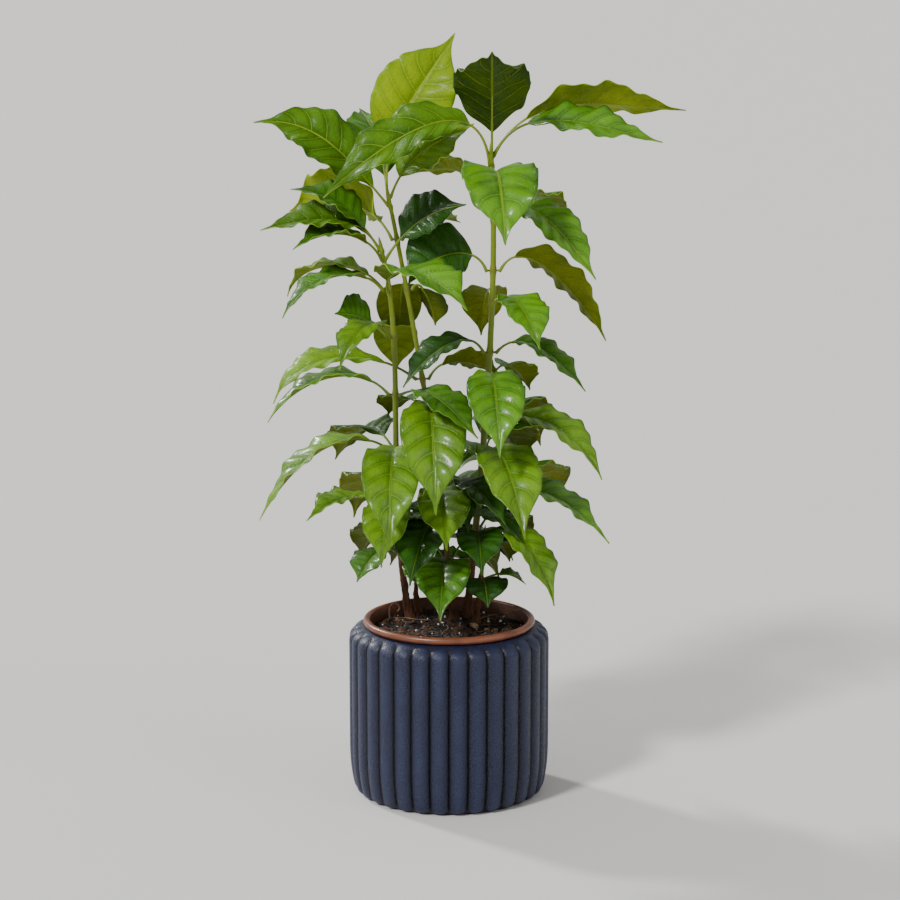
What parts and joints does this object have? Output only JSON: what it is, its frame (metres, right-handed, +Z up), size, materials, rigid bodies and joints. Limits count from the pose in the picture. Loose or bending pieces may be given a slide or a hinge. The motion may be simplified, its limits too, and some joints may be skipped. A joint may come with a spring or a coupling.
{
  "type": "potted coffee plant",
  "caption": "Young coffee plant with slim stems and glossy veined leaves, in a nursery liner inside a ribbed round ceramic pot.",
  "frame": {"origin": "centre of the pot's flat underside", "axes": "+Z up along the pot's axis, +X to the plant's right as seen from its front, front towards -Y"},
  "size_m": [0.3322, 0.2127, 0.5874],
  "materials": {
    "ceramic": "matte, finely speckled navy blue",
    "liner": "satin copper brown",
    "soil": "dark crumbly potting soil",
    "stem": "brown bark at the foot, green above",
    "old_leaf": "glossy dark green",
    "young_leaf": "glossy yellow green"
  },
  "bodies": {
    "root": {"outer_pot": "ceramic", "nursery_liner": "liner", "soil": "soil", "left_stem": "stem", "middle_stem": "stem", "right_stem": "stem", "front_shoot": "stem", "rear_shoot": "stem", "right_crown": "young_leaf", "right_leaves_9": "young_leaf", "right_leaves_8": "young_leaf", "right_leaves_7": "young_leaf", "right_leaves_6": "old_leaf", "right_leaves_5": "old_leaf", "right_leaves_4": "old_leaf", "right_leaves_3": "old_leaf", "right_leaves_2": "old_leaf", "right_leaves_1": "old_leaf", "right_leaves_0": "old_leaf", "middle_crown": "young_leaf", "middle_leaves_6": "young_leaf", "middle_leaves_5": "old_leaf", "middle_leaves_4": "old_leaf", "middle_leaves_3": "old_leaf", "middle_leaves_2": "old_leaf", "middle_leaves_1": "old_leaf", "middle_leaves_0": "old_leaf", "left_crown": "young_leaf", "left_leaves_6": "old_leaf", "left_leaves_5": "old_leaf", "left_leaves_4": "old_leaf", "left_leaves_3": "old_leaf", "left_leaves_2": "old_leaf", "left_leaves_1": "old_leaf", "front_shoot_crown": "old_leaf", "front_shoot_leaves": "old_leaf", "rear_shoot_crown": "old_leaf"}
  },
  "joints": []
}
